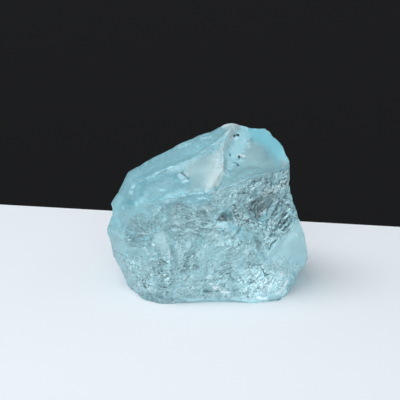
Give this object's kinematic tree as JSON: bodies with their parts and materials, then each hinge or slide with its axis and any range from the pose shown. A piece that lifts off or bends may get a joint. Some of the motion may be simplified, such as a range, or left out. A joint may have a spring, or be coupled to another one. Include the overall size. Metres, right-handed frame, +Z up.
{
  "type": "topaz crystal",
  "caption": "Rough, broken lump of clear sky-blue topaz with glassy scooped faces, hackly torn faces and a flat foot.",
  "frame": {"origin": "on the flat face on which the stone rests, at the middle of the stone's bounding box seen from above", "axes": "+X along the stone's longest extent, towards its blunt right end; +Z up; -Y towards the torn front face"},
  "size_m": [0.038, 0.0294, 0.03],
  "materials": {
    "topaz": "clear pale sky blue, glassy on the scooped faces and frosted on the torn ones"
  },
  "bodies": {
    "root": {"topaz_crystal": "topaz"}
  },
  "joints": []
}
